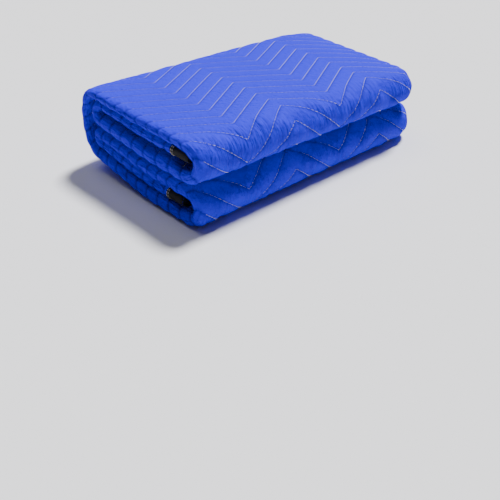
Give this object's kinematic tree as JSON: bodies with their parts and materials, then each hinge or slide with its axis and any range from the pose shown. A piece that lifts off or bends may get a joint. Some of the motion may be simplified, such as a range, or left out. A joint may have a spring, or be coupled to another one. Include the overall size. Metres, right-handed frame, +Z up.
{
  "type": "moving blanket",
  "caption": "Royal blue chevron-quilted moving blanket with black bound edges, folded flat into a rectangular bundle with rounded folds.",
  "frame": {"origin": "on the ground, under the middle of the folded blanket", "axes": "+Z up; +X along the long side of the bundle, away from the end where the layered first folds show; +Y towards the spine fold, with the two bulging folds at -Y"},
  "size_m": [0.4993, 0.3192, 0.1446],
  "materials": {
    "quilted_cloth": "matt woven polyester, quilted",
    "binding": "matt woven tape"
  },
  "bodies": {
    "root": {"quilted_cloth": "quilted_cloth", "end_binding_upper": "binding", "end_binding_lower": "binding", "side_binding_inner": "binding", "side_binding_middle": "binding"}
  },
  "joints": []
}
